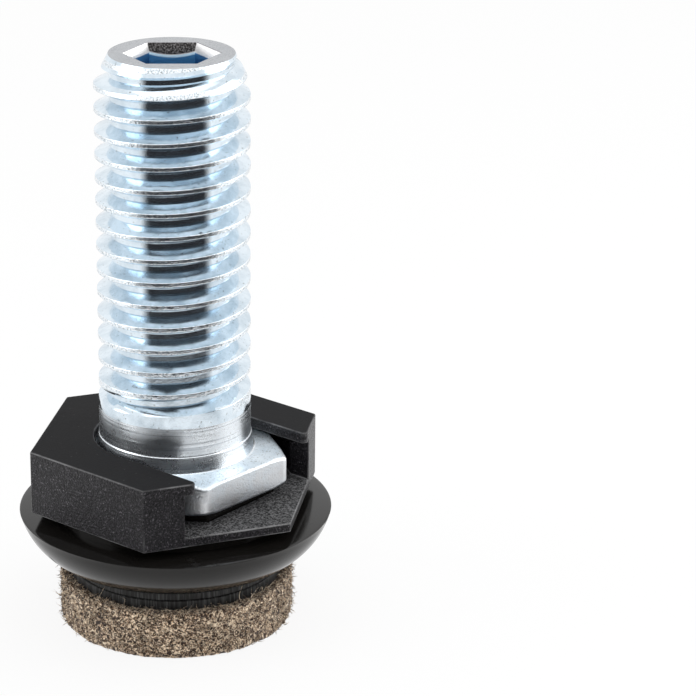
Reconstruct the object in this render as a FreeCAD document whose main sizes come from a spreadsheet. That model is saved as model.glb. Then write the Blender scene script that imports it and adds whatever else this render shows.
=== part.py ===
import FreeCAD, Part
import math
import os
import Sketcher

# Adjustable cabinet leg: a threaded steel stud whose thin hexagonal head is held in a black foot.
# The foot is a hexagonal housing with a keyhole slot, seated on a round glide disc with a felt pad.
# Millimetres. The origin is at the centre of the felt's underside, +Z points up the stud,
# and the housing's slot opens towards +X.

# Driving dimensions, in the order in which the pieces stand on each other
SIZES = [
    ("felt_diameter", 15.4, "felt pad"),
    ("felt_thickness", 3.15, "felt pad"),
    ("boss_diameter", 14.0, "boss that the felt is glued to"),
    ("boss_height", 1.3, "boss"),
    ("glide_diameter", 20.5, "disc, over its rim"),
    ("bowl_lip", 0.2, "bowl starts outside the boss by this much"),
    ("bowl_depth", 3.15, "bowl, from the boss up to the rim"),
    ("bowl_first_slope", 15.0, "degrees from level where the bowl begins"),
    ("bowl_last_slope", 75.0, "degrees from level where the bowl ends"),
    ("crown_height", 0.15, "from the rim up to the foot of the neck"),
    ("crown_first_slope", 172.0, "degrees from level where the crown begins at the rim, leaning inwards"),
    ("neck_diameter", 16.2, "low round neck that carries the housing"),
    ("neck_height", 0.6, "neck"),
    ("housing_flats", 17.0, "housing, across flats"),
    ("housing_height", 4.3, "housing"),
    ("housing_edge_round", 0.15, "housing's outer edges"),
    ("floor_thickness", 0.65, "housing's floor"),
    ("plate_thickness", 0.8, "housing's top plate, over the head"),
    ("mouth_round", 0.3, "corners where the slot leaves the plate"),
    ("mouth_snap", 0.4, "each side of the mouth is nearer than the head's flat by this much"),
    ("seat_flats", 11.2, "hexagonal seat under the head"),
    ("seat_edge", 0.2, "seat's upper rim"),
    ("seat_clearance", 0.05, "between the seat and the housing's floor"),
    ("head_flats", 13.0, "stud's head, across flats"),
    ("head_thickness", 2.1, "stud's head"),
    ("head_turn", 26.5, "degrees from the slot to the head's first corner"),
    ("head_corner_round", 0.35, "head's upright edges"),
    ("head_rim", 0.2, "chamfer of the head's rims"),
    ("head_float", 0.05, "running gap over and under the head"),
    ("pocket_clearance", 0.3, "between the head's corners and the pocket"),
    ("collar_foot_height", 1.1, "flared foot of the plain collar"),
    ("collar_foot_flare", 0.17, "foot's lower end, outside the stud's radius"),
    ("throat_clearance", 0.2, "between the collar's foot and the plate"),
    ("stud_diameter", 9.86, "collar and thread crests"),
    ("stud_reach", 26.35, "stud, above its head"),
    ("end_taper", 0.95, "stud's end is smaller in radius by this much"),
    ("end_taper_length", 1.85, "tapered end"),
    ("thread_pitch", 1.5, "thread"),
    ("flank_angle", 60.0, "degrees between the thread's flanks"),
    ("crest_flat", 0.36, "thread's crest"),
    ("thread_start", 4.69, "above the head, where the groove reaches its full depth"),
    ("runout_turns", 1.0, "turns over which the groove runs out below that"),
    ("groove_overcut", 0.05, "the groove's section stands out of the stud by this much"),
    ("socket_flats", 5.0, "hexagon socket"),
    ("socket_depth", 5.5, "hexagon socket"),
    ("socket_tip", 1.1, "drilled cone under the socket"),
    ("socket_turn", 41.6, "degrees from the slot to the socket's first corner"),
]

# Heights at which the pieces meet, from the felt's underside upwards
FELT_TOP = "Sizes.felt_thickness"
BOSS_TOP = f"{FELT_TOP} + Sizes.boss_height"
RIM_HEIGHT = f"{BOSS_TOP} + Sizes.bowl_depth"
NECK_FOOT = f"{RIM_HEIGHT} + Sizes.crown_height"
DISC_TOP = f"{NECK_FOOT} + Sizes.neck_height"
FLOOR_TOP = f"{DISC_TOP} + Sizes.floor_thickness"
HOUSING_TOP = f"{DISC_TOP} + Sizes.housing_height"
PLATE_UNDERSIDE = f"{HOUSING_TOP} - Sizes.plate_thickness"
HEAD_TOP = f"{PLATE_UNDERSIDE} - Sizes.head_float"
HEAD_UNDERSIDE = f"{HEAD_TOP} - Sizes.head_thickness"
SEAT_TOP = f"{HEAD_UNDERSIDE} - Sizes.head_float"
STUD_END = f"{HEAD_TOP} + Sizes.stud_reach"

# Radii and half widths that follow from the pieces they clear
STUD_RADIUS = "Sizes.stud_diameter / 2"
FOOT_RADIUS = f"{STUD_RADIUS} + Sizes.collar_foot_flare"
THROAT_RADIUS = f"{FOOT_RADIUS} + Sizes.throat_clearance"
HEAD_CORNER = "Sizes.head_flats / (2 * cos(30)) - Sizes.head_corner_round * (1 / cos(30) - 1)"
POCKET_RADIUS = f"{HEAD_CORNER} + Sizes.pocket_clearance"
MOUTH_HALF_WIDTH = "Sizes.head_flats / 2 - Sizes.mouth_snap"
SLOT_REACH = "Sizes.housing_flats"
GROOVE_HALF_WIDTH = "(Sizes.thread_pitch - Sizes.crest_flat) / 2"
FLANK_SLOPE = "tan(Sizes.flank_angle / 2)"
THREAD_DEPTH = f"{GROOVE_HALF_WIDTH} / {FLANK_SLOPE}"

# Turn of a hexagon's first corner from the slot's direction
CORNER_AT_SLOT = "0"
FLAT_AT_SLOT = "30"

# Straight stretches that stand for the curves of the disc's section
BOWL_CHORDS = 3
CROWN_CHORDS = 2

doc = FreeCAD.newDocument("cabinet_leg")


def fill_sheet():
    sheet = doc.addObject("Spreadsheet::Sheet", "Sizes")
    for row, (alias, value, note) in enumerate(SIZES, start=1):
        sheet.set(f"A{row}", str(value))
        sheet.setAlias(f"A{row}", alias)
        sheet.set(f"B{row}", note)
    doc.recompute()


def origin_plane(body, role):
    return next(feature for feature in body.Origin.OriginFeatures if feature.Role == role)


def new_body(name):
    body = doc.addObject("PartDesign::Body", name)
    body.Label = name
    return body


def new_sketch(body, name, role, height=None):
    # A flat sketch is lifted from the ground plane to its height; a section is drawn on an upright plane
    sketch = body.newObject("Sketcher::SketchObject", name)
    sketch.AttachmentSupport = [(origin_plane(body, role), "")]
    sketch.MapMode = "FlatFace"
    if height:
        sketch.setExpression("AttachmentOffset.Base.z", height)
    return sketch


def dimension(sketch, expression, kind, *geometry):
    # The dimension is added at its present value and then tied to the sheet
    value = float(sketch.evalExpression(expression))
    index = sketch.addConstraint(Sketcher.Constraint(kind, *geometry, value))
    sketch.setExpression(f"Constraints[{index}]", expression)


def outline(sketch, points):
    # Closed outline, counterclockwise, through points given as pairs of expressions
    places = [FreeCAD.Vector(float(sketch.evalExpression(across)), float(sketch.evalExpression(up)), 0)
              for across, up in points]
    for number, (across, up) in enumerate(points):
        following = (number + 1) % len(points)
        sketch.addGeometry(Part.LineSegment(places[number], places[following]))
        dimension(sketch, across, "DistanceX", -1, 1, number, 1)
        dimension(sketch, up, "DistanceY", -1, 1, number, 1)
    for number in range(len(points)):
        sketch.addConstraint(Sketcher.Constraint("Coincident", number, 2, (number + 1) % len(points), 1))
    return sketch


def curve(start, end, first_slope, last_slope, chords):
    # Points of a bulging stretch from start to end, both included, whose slope turns steadily
    turn_across = f"(sin({last_slope}) - sin({first_slope}))"
    turn_up = f"(cos({first_slope}) - cos({last_slope}))"
    points = [start]
    for number in range(1, chords):
        slope = f"({first_slope} + ({last_slope} - {first_slope}) * {number} / {chords})"
        share_across = f"(sin({slope}) - sin({first_slope})) / {turn_across}"
        share_up = f"(cos({first_slope}) - cos({slope})) / {turn_up}"
        points.append((f"{start[0]} + ({end[0]} - ({start[0]})) * {share_across}",
                       f"{start[1]} + ({end[1]} - ({start[1]})) * {share_up}"))
    return points + [end]


def round_sketch(sketch, radius):
    sketch.addGeometry(Part.Circle(FreeCAD.Vector(), FreeCAD.Vector(0, 0, 1), 1))
    sketch.addConstraint(Sketcher.Constraint("Coincident", 0, 3, -1, 1))
    dimension(sketch, radius, "Radius", 0)
    return sketch


def hexagon_sketch(sketch, flats, turn):
    # The first corner lies at the given turn from the slot's direction
    corner = f"({flats}) / (2 * cos(30))"
    angles = [f"({turn}) + {60 * number}" for number in range(6)]
    return outline(sketch, [(f"{corner} * cos({angle})", f"{corner} * sin({angle})") for angle in angles])


def slot_sketch(sketch, half_width):
    # A strip from the stud's axis out past the housing's corner
    return outline(sketch, [("0", f"-({half_width})"), (SLOT_REACH, f"-({half_width})"),
                            (SLOT_REACH, half_width), ("0", half_width)])


def pad(body, name, sketch, length):
    feature = body.newObject("PartDesign::Pad", name)
    feature.Profile = sketch
    feature.setExpression("Length", length)
    return feature


def pocket(body, name, sketch, depth):
    feature = body.newObject("PartDesign::Pocket", name)
    feature.Profile = sketch
    feature.setExpression("Length", depth)
    return feature


def turned(body, kind, name, sketch):
    feature = body.newObject(kind, name)
    feature.Profile = sketch
    feature.ReferenceAxis = (sketch, ["V_Axis"])
    feature.Angle = 360
    return feature


def is_upright(edge):
    return edge.BoundBox.XLength < 1e-6 and edge.BoundBox.YLength < 1e-6


def is_level(edge):
    return edge.BoundBox.ZLength < 1e-6


def dress_edges(body, kind, name, base, chosen):
    doc.recompute()
    feature = body.newObject(kind, name)
    feature.Base = (base, [f"Edge{number}" for number, edge in enumerate(base.Shape.Edges, start=1)
                           if chosen(edge)])
    return feature


def fillet(body, name, base, chosen, radius):
    feature = dress_edges(body, "PartDesign::Fillet", name, base, chosen)
    feature.setExpression("Radius", radius)
    return feature


def chamfer(body, name, base, chosen, width):
    feature = dress_edges(body, "PartDesign::Chamfer", name, base, chosen)
    feature.setExpression("Size", width)
    return feature


def make_felt_pad():
    body = new_body("felt_pad")
    pad(body, "FeltDisc", round_sketch(new_sketch(body, "FeltOutline", "XY_Plane"),
                                       "Sizes.felt_diameter / 2"), FELT_TOP)
    return body


def make_glide_disc():
    body = new_body("glide_disc")
    boss = "Sizes.boss_diameter / 2"
    neck = "Sizes.neck_diameter / 2"
    rim = ("Sizes.glide_diameter / 2", RIM_HEIGHT)
    bowl = curve((f"{boss} + Sizes.bowl_lip", BOSS_TOP), rim,
                 "Sizes.bowl_first_slope", "Sizes.bowl_last_slope", BOWL_CHORDS)
    crown = curve(rim, (neck, NECK_FOOT), "Sizes.crown_first_slope", "180", CROWN_CHORDS)
    section = outline(new_sketch(body, "GlideSection", "XZ_Plane"),
                      [("0", FELT_TOP), (boss, FELT_TOP), (boss, BOSS_TOP)] + bowl + crown[1:]
                      + [(neck, DISC_TOP), ("0", DISC_TOP)])
    turned(body, "PartDesign::Revolution", "Disc", section)
    seat = pad(body, "Seat", hexagon_sketch(new_sketch(body, "SeatOutline", "XY_Plane", DISC_TOP),
                                            "Sizes.seat_flats", FLAT_AT_SLOT),
               f"{SEAT_TOP} - ({DISC_TOP})")
    doc.recompute()
    top = seat.Shape.BoundBox.ZMax
    chamfer(body, "SeatRim", seat, lambda edge: edge.BoundBox.ZMin > top - 1e-6, "Sizes.seat_edge")
    return body


def make_hex_housing():
    body = new_body("hex_housing")
    block = pad(body, "Block", hexagon_sketch(new_sketch(body, "BlockOutline", "XY_Plane", DISC_TOP),
                                              "Sizes.housing_flats", CORNER_AT_SLOT),
                "Sizes.housing_height")
    pocket(body, "Throat", round_sketch(new_sketch(body, "ThroatOutline", "XY_Plane",
                                                   HOUSING_TOP), THROAT_RADIUS), "Sizes.plate_thickness")
    slot = pocket(body, "CollarSlot", slot_sketch(new_sketch(body, "SlotOutline", "XY_Plane",
                                                             HOUSING_TOP), THROAT_RADIUS),
                  "Sizes.plate_thickness")
    doc.recompute()
    throat = float(slot.evalExpression(THROAT_RADIUS))

    def leaves_the_plate(edge):
        box = edge.BoundBox
        return is_upright(edge) and abs(abs(box.YMax) - throat) < 1e-6 and box.XMin > 1
    fillet(body, "SlotCorners", slot, leaves_the_plate, "Sizes.mouth_round")
    depth = f"{PLATE_UNDERSIDE} - ({FLOOR_TOP})"
    pocket(body, "HeadPocket", round_sketch(new_sketch(body, "PocketOutline", "XY_Plane",
                                                       PLATE_UNDERSIDE), POCKET_RADIUS), depth)
    pocket(body, "HeadMouth", slot_sketch(new_sketch(body, "MouthOutline", "XY_Plane",
                                                     PLATE_UNDERSIDE), MOUTH_HALF_WIDTH), depth)
    seat_hole = pocket(body, "SeatHole", hexagon_sketch(new_sketch(body, "SeatHoleOutline", "XY_Plane",
                                                                   FLOOR_TOP),
                                                        "Sizes.seat_flats + 2 * Sizes.seat_clearance",
                                                        FLAT_AT_SLOT), "Sizes.floor_thickness")
    doc.recompute()
    corner = float(block.evalExpression("Sizes.housing_flats / (2 * cos(30))"))

    def is_outer_corner(edge):
        box = edge.BoundBox
        return is_upright(edge) and abs(math.hypot(box.XMin, box.YMin) - corner) < 1e-6
    fillet(body, "BlockCorners", seat_hole, is_outer_corner, "Sizes.housing_edge_round")
    return body


def groove_section(body, name):
    # V section of the thread's groove, standing a little out of the stud's surface
    middle = f"{HEAD_TOP} + Sizes.thread_start"
    outer_half = f"({GROOVE_HALF_WIDTH} + Sizes.groove_overcut * {FLANK_SLOPE})"
    outer = f"{STUD_RADIUS} + Sizes.groove_overcut"
    return outline(new_sketch(body, name, "XZ_Plane"), [
        (f"{STUD_RADIUS} - {THREAD_DEPTH}", middle), (outer, f"{middle} - {outer_half}"),
        (outer, f"{middle} + {outer_half}")])


def helical_groove(body, name, section, height, runs_out):
    feature = body.newObject("PartDesign::SubtractiveHelix", name)
    feature.Profile = section
    feature.ReferenceAxis = (section, ["V_Axis"])
    feature.Mode = "pitch-height-angle"
    feature.setExpression("Pitch", "Sizes.thread_pitch")
    feature.setExpression("Height", height)
    if runs_out:
        feature.Reversed = True
        feature.setExpression("Angle", f"atan(({THREAD_DEPTH} + Sizes.groove_overcut) / ({height}))")
    return feature


def make_threaded_stud():
    body = new_body("threaded_stud")
    head = pad(body, "Head", hexagon_sketch(new_sketch(body, "HeadOutline", "XY_Plane", HEAD_UNDERSIDE),
                                            "Sizes.head_flats", "Sizes.head_turn"), "Sizes.head_thickness")
    corners = fillet(body, "HeadCorners", head, is_upright, "Sizes.head_corner_round")
    chamfer(body, "HeadRims", corners, is_level, "Sizes.head_rim")
    foot_top = f"{HEAD_TOP} + Sizes.collar_foot_height"
    turned(body, "PartDesign::Revolution", "Shank", outline(new_sketch(body, "ShankSection", "XZ_Plane"), [
        ("0", HEAD_TOP), (FOOT_RADIUS, HEAD_TOP), (STUD_RADIUS, foot_top),
        (STUD_RADIUS, f"{STUD_END} - Sizes.end_taper_length"),
        (f"{STUD_RADIUS} - Sizes.end_taper", STUD_END), ("0", STUD_END)]))
    thread = groove_section(body, "GrooveSection")
    helical_groove(body, "Thread", thread,
                   "Sizes.stud_reach - Sizes.thread_start + Sizes.thread_pitch", False)
    runout = groove_section(body, "RunoutSection")
    helical_groove(body, "Runout", runout, "Sizes.runout_turns * Sizes.thread_pitch", True)
    pocket(body, "Socket", hexagon_sketch(new_sketch(body, "SocketOutline", "XY_Plane", STUD_END),
                                          "Sizes.socket_flats", "Sizes.socket_turn"), "Sizes.socket_depth")
    socket_floor = f"{STUD_END} - Sizes.socket_depth"
    turned(body, "PartDesign::Groove", "SocketTip", outline(new_sketch(body, "TipSection", "XZ_Plane"), [
        ("0", f"{socket_floor} - Sizes.socket_tip"), ("Sizes.socket_flats / 2", socket_floor),
        ("0", socket_floor)]))
    return body


def check_document(bodies):
    for item in doc.Objects:
        if "Invalid" in item.State or "Error" in item.State:
            raise RuntimeError(f"{item.Name} failed: {item.State}")
    for body in bodies:
        if body.Shape.isNull() or not body.Shape.isValid() or len(body.Shape.Solids) != 1:
            raise RuntimeError(f"{body.Label} isn't one valid solid")


def write_parts(bodies):
    os.makedirs("parts", exist_ok=True)
    for body in bodies:
        body.Shape.exportStep(f"parts/{body.Label}.step")
        print(body.Label, "volume", round(body.Shape.Volume, 1), "mm3, faces", len(body.Shape.Faces))


fill_sheet()
pieces = [make_felt_pad(), make_glide_disc(), make_hex_housing(), make_threaded_stud()]
doc.recompute()
check_document(pieces)
write_parts(pieces)
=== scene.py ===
import math
import random

import bmesh
import bpy
from mathutils import Euler, Matrix, Vector, noise


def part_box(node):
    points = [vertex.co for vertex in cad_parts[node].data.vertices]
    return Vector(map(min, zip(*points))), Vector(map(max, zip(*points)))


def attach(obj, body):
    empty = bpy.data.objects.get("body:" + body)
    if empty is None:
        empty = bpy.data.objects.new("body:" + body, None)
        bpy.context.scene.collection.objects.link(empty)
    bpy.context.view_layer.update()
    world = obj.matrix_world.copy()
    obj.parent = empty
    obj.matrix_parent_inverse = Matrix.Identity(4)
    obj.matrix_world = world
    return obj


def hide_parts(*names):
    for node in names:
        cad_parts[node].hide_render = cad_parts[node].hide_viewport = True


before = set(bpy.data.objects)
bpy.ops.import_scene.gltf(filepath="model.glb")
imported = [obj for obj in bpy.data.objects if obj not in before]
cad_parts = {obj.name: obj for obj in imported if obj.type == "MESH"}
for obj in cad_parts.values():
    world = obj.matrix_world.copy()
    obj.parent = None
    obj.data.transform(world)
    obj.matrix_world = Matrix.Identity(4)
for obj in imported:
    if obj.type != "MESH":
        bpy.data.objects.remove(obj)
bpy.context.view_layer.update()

mm = 0.001  # the settings below are in millimetres, Blender works in metres


def boxInMm(node):
    low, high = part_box(node)
    return low / mm, high / mm


# small helpers for nodes

black, white = (0, 0, 0), (1, 1, 1)


def grey(share):
    return (share, share, share)


def newMaterial(name):
    material = bpy.data.materials.new(name)
    material.use_nodes = True
    nodes = material.node_tree.nodes
    return material, nodes, material.node_tree.links, nodes["Principled BSDF"]


def addNode(nodes, kind, inputs=None, **settings):
    node = nodes.new(kind)
    for key, value in settings.items():
        setattr(node, key, value)
    for key, value in (inputs or {}).items():
        node.inputs[key].default_value = value
    return node


def feed(links, value, socket):
    # an output is linked to the socket, a number or a colour is set on it
    if hasattr(value, "is_linked"):
        links.new(value, socket)
    else:
        socket.default_value = (*value, 1) if isinstance(value, tuple) else value


def rampNode(nodes, links, source, stops):
    ramp = nodes.new("ShaderNodeValToRGB")
    elements = ramp.color_ramp.elements
    while len(elements) < len(stops):
        elements.new(0.5)
    for element, (place, colour) in zip(elements, stops):
        element.position = place
        element.color = (*colour, 1)
    links.new(source, ramp.inputs["Fac"])
    return ramp.outputs["Color"]


def mathNode(nodes, links, operation, first, second=0.0, clamp=False):
    node = addNode(nodes, "ShaderNodeMath", operation=operation, use_clamp=clamp)
    feed(links, first, node.inputs[0])
    feed(links, second, node.inputs[1])
    return node.outputs[0]


def mixColour(nodes, links, factor, first, second, blend="MIX"):
    node = addNode(nodes, "ShaderNodeMix", data_type="RGBA", blend_type=blend)
    for slot, value in ((0, factor), (6, first), (7, second)):  # a mix node's sockets for colours
        feed(links, value, node.inputs[slot])
    return node.outputs[2]


def rangeNode(nodes, links, source, low, high, fromLow=0.0, fromHigh=1.0):
    # carries the source's own range over to another one
    span = addNode(nodes, "ShaderNodeMapRange", {"From Min": fromLow, "From Max": fromHigh,
                                                 "To Min": low, "To Max": high})
    links.new(source, span.inputs["Value"])
    return span.outputs["Result"]


def noiseNode(nodes, links, perMm, stretch=None, **inputs):
    # noise that is fixed to the piece, in grains per millimetre, with a scale for each axis where stretched
    place = nodes.new("ShaderNodeTexCoord").outputs["Object"]
    if stretch:
        mapping = addNode(nodes, "ShaderNodeMapping", {"Scale": stretch})
        links.new(place, mapping.inputs["Vector"])
        place = mapping.outputs["Vector"]
    texture = addNode(nodes, "ShaderNodeTexNoise", {"Scale": perMm / mm, **inputs})
    links.new(place, texture.inputs["Vector"])
    return texture.outputs["Fac"]


def bumpNode(nodes, links, height, strength, distance, normal=None):
    node = addNode(nodes, "ShaderNodeBump", {"Distance": distance * mm})
    links.new(height, node.inputs["Height"])
    feed(links, strength, node.inputs["Strength"])
    if normal is not None:
        links.new(normal, node.inputs["Normal"])
    return node.outputs["Normal"]


def splitCoordinates(nodes, links, kind):
    # X, Y and Z of a place on the piece (Object) or of the way its surface faces (Normal)
    split = nodes.new("ShaderNodeSeparateXYZ")
    links.new(nodes.new("ShaderNodeTexCoord").outputs[kind], split.inputs["Vector"])
    return split.outputs


# node groups that several materials share

def newGroup(name, inputs, outputs):
    group = bpy.data.node_groups.new(name, "ShaderNodeTree")
    for label, value in inputs:
        socket = group.interface.new_socket(label, in_out="INPUT", socket_type="NodeSocketFloat")
        socket.default_value = value
    for label in outputs:
        group.interface.new_socket(label, in_out="OUTPUT", socket_type="NodeSocketFloat")
    return group, group.nodes.new("NodeGroupInput"), group.nodes.new("NodeGroupOutput")


def placeGroup(nodes, group, **values):
    node = nodes.new("ShaderNodeGroup")
    node.node_tree = group
    for key, value in values.items():
        node.inputs[key].default_value = value
    return node


def makeGrainGroup():
    # even fine grain and a broader mottling, both measured in grains per millimetre
    group, source, target = newGroup("mouldGrain", [("Grains", 6.0), ("Mottle", 0.8)], ["Grain", "Mottling"])
    nodes, links = group.nodes, group.links
    place = nodes.new("ShaderNodeTexCoord").outputs["Object"]
    for size, output, detail in (("Grains", "Grain", 2.0), ("Mottle", "Mottling", 4.0)):
        perMetre = mathNode(nodes, links, "MULTIPLY", source.outputs[size], 1 / mm)
        texture = addNode(nodes, "ShaderNodeTexNoise", {"Detail": detail, "Roughness": 0.6})
        links.new(place, texture.inputs["Vector"])
        links.new(perMetre, texture.inputs["Scale"])
        links.new(texture.outputs["Fac"], target.inputs[output])
    return group


def makeDustGroup():
    # sparse pale specks, each a small rounded dot of its own size
    group, source, target = newGroup("dustSpecks", [("Specks", 2.2), ("Share", 0.12), ("Size", 0.16)],
                                     ["Mask"])
    nodes, links = group.nodes, group.links
    cells = addNode(nodes, "ShaderNodeTexVoronoi")
    links.new(nodes.new("ShaderNodeTexCoord").outputs["Object"], cells.inputs["Vector"])
    links.new(mathNode(nodes, links, "MULTIPLY", source.outputs["Specks"], 1 / mm), cells.inputs["Scale"])
    split = nodes.new("ShaderNodeSeparateColor")
    links.new(cells.outputs["Color"], split.inputs["Color"])
    chosen = mathNode(nodes, links, "LESS_THAN", split.outputs["Red"], source.outputs["Share"])
    reach = mathNode(nodes, links, "MULTIPLY", split.outputs["Green"], source.outputs["Size"])
    inside = mathNode(nodes, links, "LESS_THAN", cells.outputs["Distance"], reach)
    links.new(mathNode(nodes, links, "MULTIPLY", chosen, inside), target.inputs["Mask"])
    return group


def makeEdgeWearGroup():
    # rubbed edges: 1 where the surface turns sharply outwards, broken up by noise
    group, source, target = newGroup("rubbedEdges", [("Low", 0.52), ("High", 0.62)], ["Mask"])
    nodes, links = group.nodes, group.links
    span = addNode(nodes, "ShaderNodeMapRange")
    links.new(nodes.new("ShaderNodeNewGeometry").outputs["Pointiness"], span.inputs["Value"])
    links.new(source.outputs["Low"], span.inputs["From Min"])
    links.new(source.outputs["High"], span.inputs["From Max"])
    patches = noiseNode(nodes, links, 3.5, Detail=3.0)
    broken = mathNode(nodes, links, "MULTIPLY", span.outputs["Result"], patches)
    links.new(mathNode(nodes, links, "MULTIPLY", broken, 1.6, True), target.inputs["Mask"])
    return group


mouldGrain = makeGrainGroup()
dustSpecks = makeDustGroup()
rubbedEdges = makeEdgeWearGroup()
print("node groups made")


# rings: closed loops of points round the stud's axis

ringPoints = 240  # a multiple of 6, so that a hexagon's corners fall on points
turnOfFirstPoint = 41.6  # degrees, the socket's first corner


def ringAngle(number):
    return math.radians(turnOfFirstPoint) + 2 * math.pi * number / ringPoints


def hexagonRadius(flats, angle, turn):
    # distance from the axis to a hexagon's outline, its first corner at the given turn
    fromFlat = (angle - turn) % (math.pi / 3) - math.pi / 6
    return flats / 2 / math.cos(fromFlat)


def roundedHexagonRadius(flats, cornerRound, angle, turn):
    fromCorner = (angle - turn + math.pi / 6) % (math.pi / 3) - math.pi / 6
    centre = (flats / 2 - cornerRound) / math.cos(math.pi / 6)
    fromFlat = math.pi / 6 - abs(fromCorner)
    along = flats / 2 * math.tan(fromFlat)
    if along < centre * math.sin(math.pi / 6):
        return flats / 2 / math.cos(fromFlat)
    return centre * math.cos(fromCorner) + math.sqrt(
        max(cornerRound ** 2 - (centre * math.sin(fromCorner)) ** 2, 0))


def ringOf(radius, height):
    # radius and height are numbers or functions of the angle
    points = []
    for number in range(ringPoints):
        angle = ringAngle(number)
        r = radius(angle) if callable(radius) else radius
        z = height(angle) if callable(height) else height
        points.append(Vector((r * math.cos(angle), r * math.sin(angle), z)))
    return points


def addRings(mesh, rings, material=0):
    # joins each ring to the next, a single point closes an end
    rows = [[mesh.verts.new(point) for point in ring] for ring in rings]
    for lower, upper in zip(rows, rows[1:]):
        for number in range(ringPoints):
            following = (number + 1) % ringPoints
            if len(lower) == 1:
                corners = (lower[0], upper[following], upper[number])
            elif len(upper) == 1:
                corners = (lower[number], lower[following], upper[0])
            else:
                corners = (lower[number], lower[following], upper[following], upper[number])
            mesh.faces.new(corners).material_index = material


def finishMesh(mesh, name, body, materials, sharpAngle=35):
    bmesh.ops.remove_doubles(mesh, verts=mesh.verts, dist=0.002)
    bmesh.ops.dissolve_degenerate(mesh, edges=mesh.edges, dist=0.001)
    bmesh.ops.recalc_face_normals(mesh, faces=mesh.faces)
    bmesh.ops.scale(mesh, vec=(mm, mm, mm), verts=mesh.verts)
    data = bpy.data.meshes.new(name)
    mesh.to_mesh(data)
    mesh.free()
    data.shade_smooth()
    data.set_sharp_from_angle(angle=math.radians(sharpAngle))
    piece = bpy.data.objects.new(name, data)
    bpy.context.collection.objects.link(piece)
    for material in materials:
        data.materials.append(material)
    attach(piece, body)
    return piece


# the stud: thread, collar, head and socket

stud = {
    "radius": 4.93,
    "pitch": 1.5,
    "fullGroove": 16.49,  # height of the groove's middle at the slot's direction, full depth above it
    "runoutTurns": 1.0,
    "crestFlat": 0.28,
    "flankSlope": 25.0,
    "rootDepth": 0.97,
    "crestRound": 0.05,
    "crestRows": 0.06,  # the mesh has a row this far from the crest's middle, on both sides
    "nickDepth": 0.024,
    "nicksPerMm": (2.3, 6.0),
    "threadFloor": 14.85,
    "endTaper": 0.95,
    "endTaperLength": 1.85,
    "endTaperSoft": 0.06,
    "footHeight": 1.1,
    "footFlare": 0.17,
    "footRings": [(0.12, 0.01), (0.02, 0.05), (-0.03, 0.2)],  # outside the flare, above the head
    "footStep": 0.05,
    "footStepHeight": 0.04,
    "collarLip": 0.01,
    "turningRows": 36,
    "turningDepth": 0.007,
    "turningPerMm": 5.0,
    "headFlats": 13.0,
    "headCorner": 0.35,
    "headRim": 0.2,
    "headConeRadius": 6.95,  # outside it a cone takes the head's corners off, above and below
    "headConeSlope": 0.35,
    "headThickness": 2.1,
    "headTurn": 26.5,
    "socketFlats": 5.0,
    "socketDepth": 5.5,
    "socketEdge": 0.07,
    "socketTip": 1.1,  # drilled cone under it
    "leadDepth": 0.62,  # the socket's mouth flares over this depth
    "leadFlare": 0.34,
}


def softMin(first, second, width):
    # smaller of two values, blended where they are within width of each other
    blendShare = max(width - abs(first - second), 0) / width
    return min(first, second) - blendShare ** 2 * width / 4


def grooveDepth(angle, height):
    # depth of the thread's groove under the crest line at a place on the stud
    turns = (height - stud["fullGroove"]) / stud["pitch"] - angle / (2 * math.pi)
    nearestGroove = round(turns)
    offMiddle = abs(turns - nearestGroove) * stud["pitch"]
    half = (stud["pitch"] - stud["crestFlat"]) / 2
    slope = math.tan(math.radians(stud["flankSlope"]))
    grooveTurn = nearestGroove + angle / (2 * math.pi)  # turns above the place of full depth
    lost = half / slope * max(-grooveTurn, 0) / stud["runoutTurns"]
    depth = (half - offMiddle) / slope
    depth = min(depth, stud["rootDepth"]) - lost
    return -softMin(-depth, 0, stud["crestRound"])


def crestShare(angle, height):
    # 1 on the thread's crest, 0 on its flanks and on the plain collar
    threaded = (height - stud["fullGroove"]) / stud["pitch"] + 1 - angle / (2 * math.pi)
    return max(1 - grooveDepth(angle, height) / stud["crestRound"], 0) * min(max(2 * threaded, 0), 1)


def threadRadius(angle, height, top):
    where = Vector((5 * math.cos(angle), 5 * math.sin(angle), height))
    coarse, fine = stud["nicksPerMm"]
    nicks = abs(noise.noise(where * coarse)) + 0.8 * abs(noise.noise(where * fine))
    worn = crestShare(angle, height) * stud["nickDepth"] * nicks
    taper = stud["radius"] - stud["endTaper"] * (1 - (top - height) / stud["endTaperLength"])
    return softMin(stud["radius"] - grooveDepth(angle, height) - worn, taper, stud["endTaperSoft"])


def sectionSteps():
    # places over one pitch, from a groove's middle up, where the thread's section has its corners
    slope = math.tan(math.radians(stud["flankSlope"]))
    crestEdge = (stud["pitch"] - stud["crestFlat"]) / 2
    rootEdge = crestEdge - stud["rootDepth"] * slope
    soft = stud["crestRound"] * slope
    half = [rootEdge, (rootEdge + crestEdge) / 2, crestEdge - soft, crestEdge - 0.3 * soft,
            crestEdge + 0.3 * soft, crestEdge + soft, stud["pitch"] / 2 - stud["crestRows"]]
    return [0.0] + half + [stud["pitch"] - step for step in reversed(half)]


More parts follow.
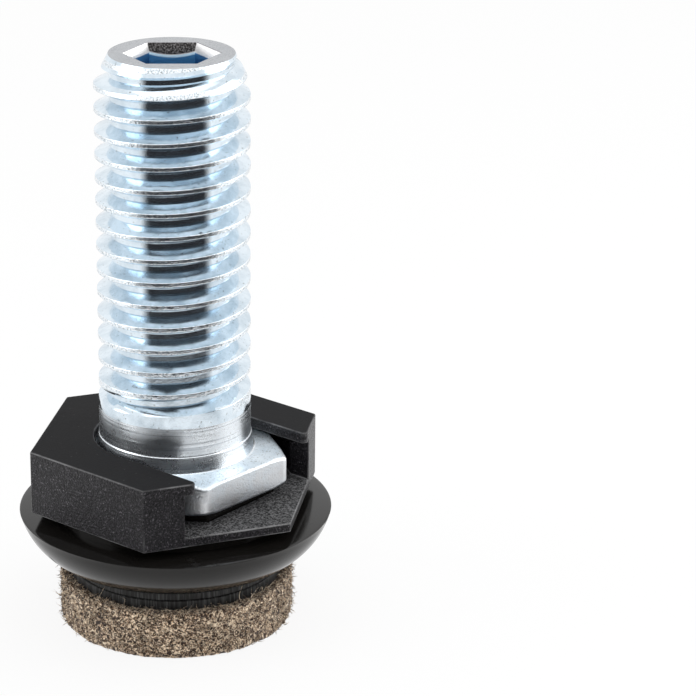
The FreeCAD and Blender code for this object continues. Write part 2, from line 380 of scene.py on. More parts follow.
def addThread(mesh, floor, top):
    # rows of points climb with the thread, so that its corners stay sharp
    steps = sectionSteps()
    firstGroove = stud["fullGroove"] + stud["pitch"] * turnOfFirstPoint / 360
    crestLayer = mesh.verts.layers.float.new("crest")
    starts = [firstGroove + stud["pitch"] * turn + step for turn in range(-4, 17) for step in steps]
    rows = []
    for start in starts:
        if not floor - 1.3 * stud["pitch"] < start < top + 0.3 * stud["pitch"]:
            continue  # all of this row lies past an end
        points = []
        for number in range(ringPoints + 1):
            angle = ringAngle(number)
            height = min(max(start + stud["pitch"] * number / ringPoints, floor), top)
            radius = threadRadius(angle % (2 * math.pi), height, top)
            points.append(mesh.verts.new((radius * math.cos(angle), radius * math.sin(angle), height)))
            points[-1][crestLayer] = crestShare(angle % (2 * math.pi), height)
        rows.append(points)
    for lower, upper in zip(rows, rows[1:]):
        for number in range(ringPoints):
            corners = (lower[number], lower[number + 1], upper[number + 1], upper[number])
            heights = [corner.co.z for corner in corners]
            if max(heights) - min(heights) > 1e-6:
                mesh.faces.new(corners).material_index = 0


def makeStud(materials):
    low, high = boxInMm("threaded_stud")
    top, bottom = high.z, low.z
    headTop = bottom + stud["headThickness"]
    headTurn = math.radians(stud["headTurn"])
    collar, rim = stud["radius"], stud["headRim"]
    mesh = bmesh.new()
    addThread(mesh, stud["threadFloor"], top)

    # head, from the middle of its underside round both bead rims to the collar's foot
    def headRing(inset, height, coneSlope=0.0):
        def radius(angle):
            return roundedHexagonRadius(stud["headFlats"] - 2 * inset, max(stud["headCorner"] - inset, 0.05),
                                        angle, headTurn)
        def heightAt(angle):
            return height - coneSlope * max(radius(angle) - stud["headConeRadius"], 0)
        return ringOf(radius, heightAt)

    def beadRing(turn, middle, coneSlope):
        angle = math.radians(turn)
        return headRing(rim - rim * math.cos(angle), middle + rim * math.sin(angle), coneSlope)
    cone = stud["headConeSlope"]
    lowerRim = [beadRing(turn, bottom + rim, -cone) for turn in range(-90, 1, 18)]
    upperRim = [beadRing(turn, headTop - rim, cone) for turn in range(0, 91, 18)]
    under = [[Vector((0, 0, bottom))], ringOf(3.0, bottom), headRing(0.9, bottom)] + lowerRim + upperRim
    footTop = headTop + stud["footHeight"]
    foot = [ringOf(collar + stud["footFlare"] + out, headTop + up) for out, up in stud["footRings"]]
    addRings(mesh, under + [headRing(0.45, headTop), foot[0]], 2)
    lip = ringOf(collar + stud["collarLip"], footTop)
    addRings(mesh, foot + [ringOf(collar + stud["footStep"], footTop - stud["footStepHeight"]), lip], 1)

    # plain collar with the lines that turning left on it
    turning = [lip]
    for step in range(1, stud["turningRows"]):
        height = footTop + (stud["threadFloor"] - footTop) * step / stud["turningRows"]
        line = stud["turningDepth"] * noise.noise(Vector((0, 0, height * stud["turningPerMm"])))
        turning.append(ringOf(collar + line, height))
    turning.append(ringOf(lambda angle: threadRadius(angle % (2 * math.pi), stud["threadFloor"], top),
                          stud["threadFloor"]))
    addRings(mesh, turning, 1)

    # stud's end: ring face, hexagon socket and the drilled cone under it
    flats, edge, flare = stud["socketFlats"], stud["socketEdge"], stud["leadFlare"]
    turn = math.radians(turnOfFirstPoint)
    floor = top - stud["socketDepth"]

    def socketRing(height, grow=0.0):
        return ringOf(lambda angle: hexagonRadius(flats + grow, angle, turn), height)
    # two more rings near the face's own edges keep it flat in the shading
    mouth = socketRing(top - 0.6 * edge, flare)
    addRings(mesh, [ringOf(lambda angle: threadRadius(angle % (2 * math.pi), top, top), top),
                    ringOf(collar - stud["endTaper"] - 0.3, top), socketRing(top, flare + edge + 0.1),
                    socketRing(top, flare + edge), mouth], 3)
    addRings(mesh, [mouth, socketRing(top - stud["leadDepth"]), socketRing(floor), ringOf(flats / 2, floor),
                    [Vector((0, 0, floor - stud["socketTip"]))]], 4)
    piece = finishMesh(mesh, "studDressed", "stud", materials)
    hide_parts("threaded_stud")
    return piece


zinc = {
    "pale": (0.79, 0.88, 0.95),
    "cool": (0.61, 0.71, 0.79),
    "dull": (0.30, 0.33, 0.34),
    "edge": (0.93, 0.95, 0.97),
    "sideGrey": (0.54, 0.54, 0.55),  # the head's upright faces
    "endGrey": (0.34, 0.34, 0.355),  # the ring face round the socket
    "turned": (0.6, 0.62, 0.65),  # darkest of the collar's lines, times the plating
    "mouthLine": (0.66, 0.88, 1.0),  # pale line under the torn wall
    "paintedBlueShade": (0.055, 0.19, 0.38),  # painted shade and reflection down in the socket
    # dark torn grain, also a painted dark reflection on the wall that faces the camera
    "tornAndDarkReflection": [(0.03, 0.028, 0.028), (0.26, 0.25, 0.25)],
    "roughness": (0.2, 0.09),  # where the mottling is dark and where it is light
    "crestRoughness": 0.19,
    "collarRougher": 0.13,  # added to the plating's own roughness, as the next three are
    "headRougher": 0.24,
    "endRougher": 0.05,
    "socketRougher": 0.3,
    "zoneDepth": 2.0,  # the socket's zones are shares of this depth
    "zoneSag": 0.55,  # their edges sag in the middle of a wall, as where a cone cuts it
}


def startZinc(name, grainSize, dullShare):
    # blue-white plating with softly mottled tone and roughness, and a share of small dull spots
    material, nodes, links, shader = newMaterial(name)
    grain = placeGroup(nodes, mouldGrain, Grains=grainSize, Mottle=0.55)
    patches = rampNode(nodes, links, grain.outputs["Mottling"], [(0.36, zinc["cool"]), (0.62, zinc["pale"])])
    spots = rampNode(nodes, links, grain.outputs["Grain"], [(dullShare, black), (dullShare + 0.08, white)])
    colour = mixColour(nodes, links, spots, zinc["dull"], patches)
    shader.inputs["Metallic"].default_value = 1.0
    roughness = rangeNode(nodes, links, grain.outputs["Mottling"], *zinc["roughness"], 0.3, 0.7)
    return material, nodes, links, shader, grain, colour, roughness


def makeThreadZinc():
    # mirror-like flanks, and crests that rolling left rough and speckled
    material, nodes, links, shader, grain, colour, roughness = startZinc("zincThread", 5.0, 0.26)
    crest = addNode(nodes, "ShaderNodeAttribute", attribute_name="crest").outputs["Fac"]
    fine = noiseNode(nodes, links, 9, Detail=3.0, Roughness=0.7)
    flecks = rampNode(nodes, links, fine, [(0.36, zinc["dull"]), (0.46, zinc["pale"]), (0.58, zinc["edge"]),
                                           (0.66, white)])
    links.new(mixColour(nodes, links, crest, colour, flecks), shader.inputs["Base Color"])
    worn = mathNode(nodes, links, "MULTIPLY", crest, zinc["crestRoughness"])
    links.new(mathNode(nodes, links, "MAXIMUM", roughness, worn), shader.inputs["Roughness"])
    relief = bumpNode(nodes, links, grain.outputs["Grain"], strength=0.12, distance=0.02)
    rough = mathNode(nodes, links, "MULTIPLY", crest, fine)
    relief = bumpNode(nodes, links, rough, strength=0.5, distance=0.04, normal=relief)
    links.new(relief, shader.inputs["Normal"])
    return material


def makeCollarZinc():
    # fine level lines from turning, dull in places
    material, nodes, links, shader, grain, colour, roughness = startZinc("zincCollar", 9.0, 0.34)
    lines = noiseNode(nodes, links, 1, stretch=(0.05, 0.05, 7.0), Detail=3.0, Roughness=0.75)
    shaded = rampNode(nodes, links, lines, [(0.32, zinc["turned"]), (0.44, white)])
    colour = mixColour(nodes, links, 0.6, colour, zinc["edge"])
    links.new(mixColour(nodes, links, 1.0, colour, shaded, "MULTIPLY"), shader.inputs["Base Color"])
    links.new(mathNode(nodes, links, "ADD", roughness, zinc["collarRougher"]), shader.inputs["Roughness"])
    relief = bumpNode(nodes, links, grain.outputs["Grain"], strength=0.35, distance=0.015)
    relief = bumpNode(nodes, links, lines, strength=0.35, distance=0.02, normal=relief)
    links.new(relief, shader.inputs["Normal"])
    return material


def makeHeadZinc(name, faceGrey, greyShare, rougher, wear):
    # mottled matt faces, greyer on the sides, with bright rims where they are worn
    material, nodes, links, shader, grain, colour, roughness = startZinc(name, 8.0, 0.33)
    facing = splitCoordinates(nodes, links, "Normal")
    upright = mathNode(nodes, links, "SUBTRACT", 1.0, mathNode(nodes, links, "ABSOLUTE", facing["Z"]), True)
    mottled = mathNode(nodes, links, "MULTIPLY", grain.outputs["Mottling"], 1.4)
    onSides = mathNode(nodes, links, "MULTIPLY", upright, mottled)
    greyed = mathNode(nodes, links, "ADD", onSides, greyShare, True)
    colour = mixColour(nodes, links, greyed, colour, faceGrey)
    edges = placeGroup(nodes, rubbedEdges, Low=0.515, High=0.56)
    wearAndLight = mathNode(nodes, links, "MULTIPLY", edges.outputs["Mask"], wear)
    links.new(mixColour(nodes, links, wearAndLight, colour, zinc["edge"]), shader.inputs["Base Color"])
    links.new(mathNode(nodes, links, "ADD", roughness, rougher), shader.inputs["Roughness"])
    relief = bumpNode(nodes, links, grain.outputs["Grain"], strength=0.8, distance=0.03)
    links.new(relief, shader.inputs["Normal"])
    return material


def makeSocketZinc():
    # bright flared mouth, torn and dark on one wall with a pale line below, then a deep blue; the deep blue
    # is a painted shade and reflection, and the dark wall is a painted dark reflection as well as torn grain
    material, nodes, links, shader, grain, _, roughness = startZinc("zincSocket", 9.0, 0.3)
    place = splitCoordinates(nodes, links, "Object")
    top = boxInMm("threaded_stud")[1].z * mm
    perZone = 1 / (zinc["zoneDepth"] * mm)

    # depth under the end face, straight down and on a curve that sags towards a wall's middle
    down = mathNode(nodes, links, "MULTIPLY", mathNode(nodes, links, "SUBTRACT", top, place["Z"]), perZone)
    squares = [mathNode(nodes, links, "POWER", place[axis], 2.0) for axis in ("X", "Y")]
    fromAxis = mathNode(nodes, links, "SQRT", mathNode(nodes, links, "ADD", *squares))
    wallMiddle = stud["socketFlats"] / 2 * mm
    under = mathNode(nodes, links, "SUBTRACT", top - wallMiddle * zinc["zoneSag"], place["Z"])
    sagging = mathNode(nodes, links, "MULTIPLY", fromAxis, zinc["zoneSag"])
    under = mathNode(nodes, links, "ADD", under, sagging)
    curved = mathNode(nodes, links, "MULTIPLY", under, perZone)

    darkWallZones = rampNode(nodes, links, curved, [(0.40, white), (0.42, zinc["mouthLine"]),
                                                (0.46, zinc["mouthLine"]), (0.50, zinc["paintedBlueShade"])])
    cleanZones = rampNode(nodes, links, down, [(0.31, white), (0.34, zinc["paintedBlueShade"])])
    mouth = rampNode(nodes, links, curved, [(0.37, white), (0.41, black)])
    tornAndDarkReflection = rampNode(nodes, links, grain.outputs["Grain"], [(0.46, zinc["tornAndDarkReflection"][0]), (0.70, zinc["tornAndDarkReflection"][1])])

    # the torn wall is the one that faces against this turn, towards the camera; its dark torn grain is also
    # a painted dark reflection
    wallTurn = math.radians(turnOfFirstPoint + 90)
    facing = addNode(nodes, "ShaderNodeVectorMath", operation="DOT_PRODUCT")
    links.new(nodes.new("ShaderNodeTexCoord").outputs["Normal"], facing.inputs[0])
    facing.inputs[1].default_value = (-math.cos(wallTurn), -math.sin(wallTurn), 0)
    darkReflectionWall = mathNode(nodes, links, "GREATER_THAN", facing.outputs["Value"], 0.75)
    zones = mixColour(nodes, links, darkReflectionWall, cleanZones, darkWallZones)
    darkReflectionMouth = mathNode(nodes, links, "MULTIPLY", mouth, darkReflectionWall)
    links.new(mixColour(nodes, links, darkReflectionMouth, zones, tornAndDarkReflection), shader.inputs["Base Color"])
    links.new(mathNode(nodes, links, "ADD", roughness, zinc["socketRougher"]), shader.inputs["Roughness"])
    relief = bumpNode(nodes, links, grain.outputs["Grain"], strength=0.6, distance=0.03)
    links.new(relief, shader.inputs["Normal"])
    return material


studPiece = makeStud([
    makeThreadZinc(), makeCollarZinc(),
    makeHeadZinc("zincHead", zinc["sideGrey"], greyShare=0.1, rougher=zinc["headRougher"], wear=1.0),
    makeHeadZinc("zincEnd", zinc["endGrey"], greyShare=0.8, rougher=zinc["endRougher"], wear=0.0),
    makeSocketZinc()])
print("stud made,", len(studPiece.data.polygons), "faces")


# matt black housing

housing = {
    "bevel": 0.11,
    "floorHeight": 9.1,  # below it, inside the slot, the grain is paler: dust, and a painted light that the head throws onto the floor
    "colour": (0.0045, 0.0042, 0.0052),
    "light": (0.022, 0.020, 0.024),
    # painted glints on the palest grains of the upright faces
    "paintedGlint": (0.11, 0.104, 0.114),
    "sheen": (0.007, 0.007, 0.008),  # painted sheen: palest mottling on the level faces
    # pale colour of wear and dust, also a painted light on the slot's floor and a painted highlight on the
    # edges
    "wearAndLight": (0.26, 0.26, 0.265),
    # pale specks: dust as well as painted glints
    "dustAndGlint": (0.16, 0.155, 0.16),
    "grainsPerMm": 8.5,
    "grainStrength": (1.0, 0.15),  # on upright and on level faces
    "roughness": (0.24, 0.34),
    "levelRougher": 0.5,
    "specular": 0.24,
}


def makeMattBlack():
    material, nodes, links, shader = newMaterial("mattBlack")
    grain = placeGroup(nodes, mouldGrain, Grains=housing["grainsPerMm"], Mottle=0.4)
    dust = placeGroup(nodes, dustSpecks, Specks=6.0, Share=0.07, Size=0.3)
    facing = splitCoordinates(nodes, links, "Normal")
    level = mathNode(nodes, links, "ABSOLUTE", facing["Z"])

    # the sides have a coarser spark-eroded grain than the top, its palest grains painted glints; the level
    # faces carry a faint painted sheen
    sides = rampNode(nodes, links, grain.outputs["Grain"],
                     [(0.44, housing["colour"]), (0.60, housing["light"]), (0.72, housing["paintedGlint"])])
    top = rampNode(nodes, links, grain.outputs["Mottling"],
                   [(0.40, housing["colour"]), (0.75, housing["sheen"])])
    colour = mixColour(nodes, links, level, sides, top)

    # the slot's floor is paler in its grain: dust, and a painted light that the zinc head throws onto it
    place = splitCoordinates(nodes, links, "Object")
    onFloor = mathNode(nodes, links, "LESS_THAN", place["Z"], housing["floorHeight"] * mm)
    onFloor = mathNode(nodes, links, "MULTIPLY", onFloor, facing["Z"], True)
    dustAndLight = rampNode(nodes, links, grain.outputs["Grain"], [(0.40, black), (0.72, grey(0.8))])
    dustAndLight = mathNode(nodes, links, "MULTIPLY", onFloor, dustAndLight)
    colour = mixColour(nodes, links, dustAndLight, colour, housing["wearAndLight"])

    # the narrow slanted faces between level and upright ones are rubbed pale in patches, wear as well as a
    # painted highlight along the edges
    slanted = mathNode(nodes, links, "MULTIPLY", level, mathNode(nodes, links, "SUBTRACT", 1.0, level))
    slanted = mathNode(nodes, links, "MULTIPLY", slanted, 4.0)
    patches = rampNode(nodes, links, grain.outputs["Mottling"], [(0.40, grey(0.15)), (0.66, grey(0.8))])
    edge = mathNode(nodes, links, "MULTIPLY", slanted, patches, True)
    colour = mixColour(nodes, links, edge, colour, housing["wearAndLight"])

    # pale specks, dust as well as painted glints, fewer on the level faces
    moreOnUpright = mathNode(nodes, links, "SUBTRACT", 1.0, mathNode(nodes, links, "MULTIPLY", level, 0.8))
    specks = mathNode(nodes, links, "MULTIPLY", dust.outputs["Mask"], moreOnUpright)
    links.new(mixColour(nodes, links, specks, colour, housing["dustAndGlint"]), shader.inputs["Base Color"])

    shader.inputs["Specular IOR Level"].default_value = housing["specular"]
    roughness = rangeNode(nodes, links, grain.outputs["Mottling"], *housing["roughness"])
    duller = mathNode(nodes, links, "MULTIPLY", level, housing["levelRougher"])
    links.new(mathNode(nodes, links, "ADD", roughness, duller), shader.inputs["Roughness"])
    strength = rangeNode(nodes, links, level, *housing["grainStrength"])
    relief = bumpNode(nodes, links, grain.outputs["Grain"], strength, distance=0.12)
    links.new(relief, shader.inputs["Normal"])
    return material


def dressHousing():
    piece = bpy.data.objects["hex_housing"]
    piece.data.materials.clear()
    piece.data.materials.append(makeMattBlack())

    # one corner where faces meet and one face for each flat, so that the bevel finds the real edges
    join = piece.modifiers.new("joinedCorners", "WELD")
    join.merge_threshold = 0.001 * mm
    merge = piece.modifiers.new("flatFaces", "DECIMATE")
    merge.decimate_type = "DISSOLVE"
    merge.angle_limit = math.radians(1.5)
    bevel = piece.modifiers.new("softEdges", "BEVEL")
    bevel.width = housing["bevel"] * mm
    bevel.segments = 3
    bevel.limit_method = "ANGLE"
    bevel.angle_limit = math.radians(40)
    shade = piece.modifiers.new("flatShading", "WEIGHTED_NORMAL")
    shade.weight = 100


dressHousing()
print("housing dressed")


# glossy black disc

glide = {
    "bossRadius": 7.0,
    "bossStep": 0.12,
    "bossHeight": 1.3,
    "bowlLip": 0.2,
    "bowlDepth": 3.15,
    "bowlSlopes": (15.0, 75.0),
    "crownHeight": 0.15,
    "crownSlopes": (172.0, 180.0),
    "neckRadius": 8.1,
    "neckHeight": 0.6,
    "rimRound": 0.07,
    "seatFlats": 11.2,
    "edgeSoft": 0.06,
    "stepSoft": 0.02,
    "seatTurn": 30.0,
    "seatEdge": 0.2,
    "colour": (0.006, 0.0055, 0.005),
    "drawn": (0.06, 0.06, 0.06),  # pale upright lines on the boss
    "dust": (0.2, 0.2, 0.2),
    "roughness": (0.08, 0.2),
    "rubbedRougher": 0.35,
    "bossRougher": 0.3,
    "specular": 0.28,
}


def bulge(start, end, slopes, steps):
    # section points of a stretch whose slope turns steadily from the first to the last angle
    first, last = (math.radians(slope) for slope in slopes)
    points = []
    for step in range(steps + 1):
        slope = first + (last - first) * step / steps
        across = (math.sin(slope) - math.sin(first)) / (math.sin(last) - math.sin(first))
        up = (math.cos(first) - math.cos(slope)) / (math.cos(first) - math.cos(last))
        points.append((start[0] + (end[0] - start[0]) * across, start[1] + (end[1] - start[1]) * up))
    return points


def makeGlossBlack():
    material, nodes, links, shader = newMaterial("glossBlack")
    grain = placeGroup(nodes, mouldGrain, Grains=3.0, Mottle=0.35)
    dust = placeGroup(nodes, dustSpecks, Specks=1.4, Share=0.06, Size=0.1)
    edges = placeGroup(nodes, rubbedEdges, Low=0.54, High=0.64)
    lighter = tuple(1.6 * share for share in glide["colour"])
    colour = rampNode(nodes, links, grain.outputs["Mottling"], [(0.3, glide["colour"]), (0.8, lighter)])
    colour = mixColour(nodes, links, dust.outputs["Mask"], colour, glide["dust"])

    # upright lines that the mould drew on the boss
    place = splitCoordinates(nodes, links, "Object")
    bossTop = boxInMm("glide_disc")[0].z + glide["bossHeight"]
    onBoss = mathNode(nodes, links, "LESS_THAN", place["Z"], bossTop * mm)
    drawn = noiseNode(nodes, links, 1, stretch=(8.0, 8.0, 0.5), Detail=2.0)
    streaks = mathNode(nodes, links, "MULTIPLY", onBoss,
                       rampNode(nodes, links, drawn, [(0.45, black), (0.70, white)]))
    links.new(mixColour(nodes, links, streaks, colour, glide["drawn"]), shader.inputs["Base Color"])

    roughness = rangeNode(nodes, links, grain.outputs["Mottling"], *glide["roughness"])
    wearAndLight = mathNode(nodes, links, "MULTIPLY", edges.outputs["Mask"], glide["rubbedRougher"])
    wearAndLight = mathNode(nodes, links, "ADD", wearAndLight,
                      mathNode(nodes, links, "MULTIPLY", onBoss, glide["bossRougher"]))
    links.new(mathNode(nodes, links, "ADD", roughness, wearAndLight), shader.inputs["Roughness"])
    shader.inputs["Specular IOR Level"].default_value = glide["specular"]
    relief = bumpNode(nodes, links, grain.outputs["Grain"], strength=0.08, distance=0.02)
    links.new(relief, shader.inputs["Normal"])
    return material


def makeGlide():
    # section from the boss's underside round the rim to the neck, turned about the axis
    low, high = boxInMm("glide_disc")
    boss, edge, step = glide["bossRadius"], glide["edgeSoft"], glide["stepSoft"]
    bossTop = low.z + glide["bossHeight"]
    halfBoss = low.z + glide["bossHeight"] / 2
    upperBoss = boss - glide["bossStep"]
    lip = boss + glide["bowlLip"]
    section = [(boss - edge, low.z), (boss, low.z + edge), (boss, halfBoss - 2 * step),
               (boss - 2 * step, halfBoss), (upperBoss, halfBoss + step), (upperBoss, bossTop - step),
               (lip - 0.05, bossTop), (lip, bossTop + step)]
    rimRadius, rimHeight = high.x, bossTop + glide["bowlDepth"]
    neckFoot = rimHeight + glide["crownHeight"]
    discTop = neckFoot + glide["neckHeight"]
    soft = glide["rimRound"]
    section += bulge((lip, bossTop + step), (rimRadius - 0.3 * soft, rimHeight - soft),
                     glide["bowlSlopes"], 16)[1:]
    section += [(rimRadius, rimHeight - 0.3 * soft), (rimRadius - 0.3 * soft, rimHeight + 0.1 * soft)]
    section += bulge((rimRadius - soft, rimHeight + 0.3 * soft), (glide["neckRadius"], neckFoot),
                     glide["crownSlopes"], 14)
    section += [(glide["neckRadius"], discTop)]

    # hexagonal seat on top
    seatTurn, seatEdge = math.radians(glide["seatTurn"]), glide["seatEdge"]

    def seatRing(height, inset=0.0):
        return ringOf(lambda angle: hexagonRadius(glide["seatFlats"] - 2 * inset, angle, seatTurn), height)
    rings = [[Vector((0, 0, low.z))]] + [ringOf(radius, height) for radius, height in section]
    rings += [seatRing(discTop), seatRing(high.z - seatEdge), seatRing(high.z, seatEdge)]
    rings.append([Vector((0, 0, high.z))])
    mesh = bmesh.new()
    addRings(mesh, rings)
    piece = finishMesh(mesh, "glideDressed", "foot", [makeGlossBlack()], 30)
    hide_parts("glide_disc")
    return piece


glidePiece = makeGlide()
print("glide made,", len(glidePiece.data.polygons), "faces")


# felt pad: a matted core with fibres standing on it

felt = {
    "inset": 0.12,  # the matted core is smaller than the pad by this much
    "edgeInset": 0.18,
    "lumps": [(0.10, 0.8), (0.09, 3.5)],  # depth of each size of lump, and how many there are per millimetre
    "fibres": 9800,
    "onLedge": 0.14,  # share of the fibres that stand on the ledge round the boss
    "length": (0.25, 0.62),
    "thickness": 0.036,
    "curl": 0.22,  # of the fibre's length
    "strayFibres": 34,
    "straysOnLedge": 0.7,
    "strayLength": (0.8, 1.7),
    "speckleMiddle": 0.503,
    "speckleGain": 7.5,
    "tones": [(0.026, 0.011, 0.005), (0.22, 0.125, 0.066), (0.74, 0.49, 0.29), (1.0, 0.84, 0.64)],
    "seed": 11,
}


def makeWool():
    material, nodes, links, shader = newMaterial("woolFelt")
    grain = placeGroup(nodes, mouldGrain, Grains=5.0, Mottle=1.1)
    tone = addNode(nodes, "ShaderNodeAttribute", attribute_name="tone").outputs["Fac"]
    fibres = noiseNode(nodes, links, 5.5, Detail=3.0, Roughness=0.7, Distortion=1.2)
    speckle = mathNode(nodes, links, "SUBTRACT", fibres, felt["speckleMiddle"])
    speckle = mathNode(nodes, links, "MULTIPLY", speckle, felt["speckleGain"])
    shade = mathNode(nodes, links, "ADD", mathNode(nodes, links, "MULTIPLY", grain.outputs["Mottling"], 0.4),
                     mathNode(nodes, links, "MULTIPLY", tone, 0.55))
    shade = mathNode(nodes, links, "ADD", shade, speckle)
    stops = [(0.2 + 0.22 * number, colour) for number, colour in enumerate(felt["tones"])]
    links.new(rampNode(nodes, links, shade, stops), shader.inputs["Base Color"])
    shader.inputs["Roughness"].default_value = 0.9
    shader.inputs["Sheen Weight"].default_value = 0.25
    shader.inputs["Sheen Roughness"].default_value = 0.5
    links.new(bumpNode(nodes, links, fibres, strength=1.0, distance=0.12), shader.inputs["Normal"])
    return material


def addFibre(mesh, toneLayer, start, direction, length, bend, thickness, tone, curlTurn, steps=3):
    # a thin three-sided strand that tapers to a point, curves towards bend and curls a little
    side = direction.orthogonal().normalized()
    across = direction.cross(side)
    curl = (side * math.cos(curlTurn) + across * math.sin(curlTurn)) * length * felt["curl"]
    rows = []
    for step in range(steps + 1):
        share = step / steps
        middle = start + direction * length * share + bend * length * share ** 2
        middle += curl * math.sin(math.pi * 1.3 * share)
        if step == steps:
            rows.append([mesh.verts.new(middle)])
            continue
        wide = thickness * (1 - 0.6 * share)
        rows.append([mesh.verts.new(middle + wide * (side * math.cos(turn) + across * math.sin(turn)))
                     for turn in (0, 2 * math.pi / 3, 4 * math.pi / 3)])
    mesh.faces.new(reversed(rows[0]))
    for lower, upper in zip(rows, rows[1:]):
        for number in range(3):
            following = (number + 1) % 3
            if len(upper) == 1:
                mesh.faces.new((lower[number], lower[following], upper[0]))
            else:
                mesh.faces.new((lower[number], lower[following], upper[following], upper[number]))
    for row in rows:
        for corner in row:
            corner[toneLayer] = tone


def makeFelt(material):
    high = boxInMm("felt_pad")[1]
    radius, top = high.x - felt["inset"], high.z
    mesh = bmesh.new()
    toneLayer = mesh.verts.layers.float.new("tone")

    # matted core
    def lumpy(height, inset):
        def radiusAt(angle):
            where = Vector((radius * math.cos(angle), radius * math.sin(angle), height))
            return radius - inset + sum(depth * noise.noise(where * perMm) for depth, perMm in felt["lumps"])
        return radiusAt
    heights = [0.0, 0.06] + [0.06 + (top - 0.1) * step / 14 for step in range(1, 15)] + [top]
    rings = [[Vector((0, 0, 0.0))], ringOf(3.5, 0.0)]
    for height in heights:
        rings.append(ringOf(lumpy(height, felt["edgeInset"] if height in (0.0, top) else 0.0), height))
    rings += [ringOf(3.5, top), [Vector((0, 0, top))]]
    addRings(mesh, rings)
    for corner in mesh.verts:
        corner[toneLayer] = 0.3 + 0.35 * noise.noise(corner.co * 5.0)

    # fibres on its side and on the ledge round the boss, and the longer ones that stray
    pick = random.Random(felt["seed"])
    boss = glide["bossRadius"]
    for number in range(felt["fibres"] + felt["strayFibres"]):
        isStray = number >= felt["fibres"]
        angle = pick.uniform(0, 2 * math.pi)
        outwards = Vector((math.cos(angle), math.sin(angle), 0))
        around = Vector((-outwards.y, outwards.x, 0))
        if pick.random() < (felt["straysOnLedge"] if isStray else felt["onLedge"]):
            start = outwards * pick.uniform(boss + 0.1, radius) + Vector((0, 0, top - 0.02))
            facing = outwards * pick.uniform(-0.6, 0.6)
            facing.z = pick.uniform(0.05, 0.9 if isStray else 0.5)
            lean = around * pick.uniform(-1.4, 1.4) + Vector((0, 0, 0.1))
        else:
            start = outwards * (radius - 0.06) + Vector((0, 0, pick.uniform(0.1, top - 0.03)))
            facing = outwards * pick.uniform(0.05, 0.5)
            lean = around * pick.uniform(-1.4, 1.4) + Vector((0, 0, pick.uniform(-1.2, 1.2)))
        direction = (facing + lean * (0.6 if isStray else 1.0)).normalized()
        bend = Vector((pick.uniform(-0.6, 0.6), pick.uniform(-0.6, 0.6), pick.uniform(-0.6, 0.4)))
        bend -= outwards * 0.2
        length = pick.uniform(*(felt["strayLength"] if isStray else felt["length"]))
        # no fibre dips below the face that the leg stands on
        end = start + direction * length + bend * length
        if end.z < 0.05:
            direction.z, bend.z = abs(direction.z) * 0.3, abs(bend.z) * 0.3
        tone = 1.1 if isStray else pick.betavariate(0.8, 0.6)
        thickness = felt["thickness"] * (0.6 if isStray else pick.uniform(0.6, 1.2))
        curlTurn = pick.uniform(0, 2 * math.pi)
        addFibre(mesh, toneLayer, start, direction, length, bend, thickness, tone, curlTurn,
                 6 if isStray else 3)
    data = bpy.data.meshes.new("feltDressed")
    bmesh.ops.scale(mesh, vec=(mm, mm, mm), verts=mesh.verts)
    mesh.to_mesh(data)
    mesh.free()
    data.shade_smooth()
    data.materials.append(material)
    piece = bpy.data.objects.new("feltDressed", data)
    bpy.context.collection.objects.link(piece)
    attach(piece, "foot")
    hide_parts("felt_pad")
    return piece


feltPiece = makeFelt(makeWool())
print("felt made,", len(feltPiece.data.polygons), "faces")


# floor, lamps, camera

studio = {
    "floorSize": 1200.0,
    "floorDrop": 0.02,  # the floor lies this far under the felt
    "floorColour": (0.9, 0.9, 0.9),
    "shadowShare": 0.12,  # share of the floor's own shading that the camera sees, the rest is plain white
    "worldDiffuse": 0.75,  # strength at which it lights the leg
    "worldShown": 1.0,  # strength at which the camera and reflections see it
    # azimuth and elevation from which each lamp shines, distance, width, height, power
    "lamps": {
        "leftLamp": (-128, 14, 220, 150, 220, 0.20),
        "rightLamp": (46, 18, 220, 190, 220, 0.26),
        "topLamp": (-48, 84, 240, 260, 260, 0.14),
    },
    "aimHeight": 16.0,  # the lamps' distances and directions are taken from this place on the axis
    "cardDistance": 48.0,
    "cardHalfTurn": 66.0,
    "cardFade": 14.0,  # degrees over which each end of it thins out
    "cardOffTurn": 6.0,  # degrees round from the camera's side towards the right
    "cardHeight": 34.0,
    "cardColour": (0.015, 0.015, 0.018),
}

camera = {
    "place": (113.81, -126.34, 82.12),
    "tilt": 69.505,
    "turn": 38.233,
    "roll": 0.78,
    "lens": 145.0,
}


def direction(azimuth, elevation):
    a, e = math.radians(azimuth), math.radians(elevation)
    return Vector((math.cos(a) * math.cos(e), math.sin(a) * math.cos(e), math.sin(e)))


def seenRays(nodes, links):
    # 1 for what the camera sees, directly, in a reflection or through glass
    rays = nodes.new("ShaderNodeLightPath").outputs
    mirrored = mathNode(nodes, links, "MAXIMUM", rays["Is Glossy Ray"], rays["Is Transmission Ray"])
    return mathNode(nodes, links, "MAXIMUM", rays["Is Camera Ray"], mirrored)


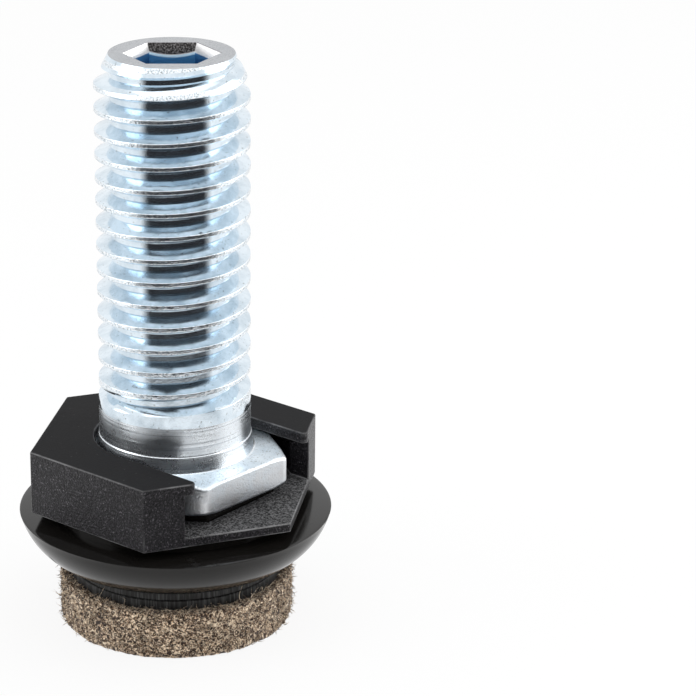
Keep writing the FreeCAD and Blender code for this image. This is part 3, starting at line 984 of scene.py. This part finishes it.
def makeFloor():
    half = studio["floorSize"] / 2 * mm
    data = bpy.data.meshes.new("floor")
    corners = [(-half, -half, 0), (half, -half, 0), (half, half, 0), (-half, half, 0)]
    data.from_pydata(corners, [], [(0, 1, 2, 3)])
    floor = bpy.data.objects.new("floor", data)
    bpy.context.collection.objects.link(floor)
    floor.location.z = -studio["floorDrop"] * mm
    material, nodes, links, shader = newMaterial("paleFloor")
    shader.inputs["Base Color"].default_value = (*studio["floorColour"], 1)
    shader.inputs["Roughness"].default_value = 0.9
    plain = addNode(nodes, "ShaderNodeEmission", {"Strength": studio["worldShown"]})
    share = mathNode(nodes, links, "MULTIPLY", seenRays(nodes, links), 1 - studio["shadowShare"])
    mixer = nodes.new("ShaderNodeMixShader")
    links.new(share, mixer.inputs["Fac"])
    links.new(shader.outputs["BSDF"], mixer.inputs[1])
    links.new(plain.outputs["Emission"], mixer.inputs[2])
    links.new(mixer.outputs["Shader"], nodes["Material Output"].inputs["Surface"])
    data.materials.append(material)


def makeWorld():
    world = bpy.data.worlds.new("studio")
    bpy.context.scene.world = world
    world.use_nodes = True
    nodes, links = world.node_tree.nodes, world.node_tree.links
    background = nodes["Background"]
    background.inputs["Color"].default_value = (1, 1, 1, 1)
    strength = rangeNode(nodes, links, seenRays(nodes, links), studio["worldDiffuse"], studio["worldShown"])
    links.new(strength, background.inputs["Strength"])


def makeLamps():
    aim = Vector((0, 0, studio["aimHeight"] * mm))
    for name, (azimuth, elevation, distance, width, height, power) in studio["lamps"].items():
        data = bpy.data.lights.new(name, "AREA")
        data.shape = "RECTANGLE"
        data.size, data.size_y = width * mm, height * mm
        data.energy = power
        lamp = bpy.data.objects.new(name, data)
        bpy.context.collection.objects.link(lamp)
        lamp.location = aim + direction(azimuth, elevation) * distance * mm
        lamp.rotation_euler = direction(azimuth, elevation).to_track_quat("Z", "Y").to_euler()


def makeFrontCard():
    # a dark card on the camera's side that only reflections see, as a studio has round the lens
    middle = math.atan2(camera["place"][1], camera["place"][0]) + math.radians(studio["cardOffTurn"])
    points, faces, cover = [], [], []
    steps = 44
    for step in range(steps + 1):
        angle = middle + math.radians(studio["cardHalfTurn"]) * (2 * step / steps - 1)
        fromEnd = studio["cardHalfTurn"] * (1 - abs(2 * step / steps - 1))
        cover += [min(fromEnd / studio["cardFade"], 1)] * 2
        across = Vector((math.cos(angle), math.sin(angle), 0)) * studio["cardDistance"] * mm
        points += [across, across + Vector((0, 0, studio["cardHeight"] * mm))]
        if step:
            faces.append((2 * step - 2, 2 * step, 2 * step + 1, 2 * step - 1))
    data = bpy.data.meshes.new("frontCard")
    data.from_pydata(points, [], faces)
    card = bpy.data.objects.new("frontCard", data)
    bpy.context.collection.objects.link(card)
    material, nodes, links, shader = newMaterial("darkCard")
    shader.inputs["Base Color"].default_value = (*studio["cardColour"], 1)
    shader.inputs["Roughness"].default_value = 1.0
    data.attributes.new("cover", "FLOAT", "POINT").data.foreach_set("value", cover)
    clear = nodes.new("ShaderNodeBsdfTransparent")
    mixer = nodes.new("ShaderNodeMixShader")
    share = addNode(nodes, "ShaderNodeAttribute", attribute_name="cover")
    links.new(share.outputs["Fac"], mixer.inputs["Fac"])
    links.new(clear.outputs["BSDF"], mixer.inputs[1])
    links.new(shader.outputs["BSDF"], mixer.inputs[2])
    links.new(mixer.outputs["Shader"], nodes["Material Output"].inputs["Surface"])
    data.materials.append(material)
    for kind in ("camera", "diffuse", "shadow", "transmission"):
        setattr(card, "visible_" + kind, False)


def makeCamera():
    data = bpy.data.cameras.new("camera")
    data.lens = camera["lens"]
    data.clip_start, data.clip_end = 1 * mm, 10
    eye = bpy.data.objects.new("camera", data)
    bpy.context.collection.objects.link(eye)
    eye.location = Vector(camera["place"]) * mm
    upright = Euler((math.radians(camera["tilt"]), 0, math.radians(camera["turn"]))).to_matrix()
    eye.rotation_euler = (upright @ Matrix.Rotation(math.radians(camera["roll"]), 3, "Z")).to_euler()
    bpy.context.scene.camera = eye


makeFloor()
makeWorld()
makeLamps()
makeFrontCard()
makeCamera()
bpy.context.scene.view_settings.view_transform = "Standard"
print("studio made")

bpy.context.view_layer.update()
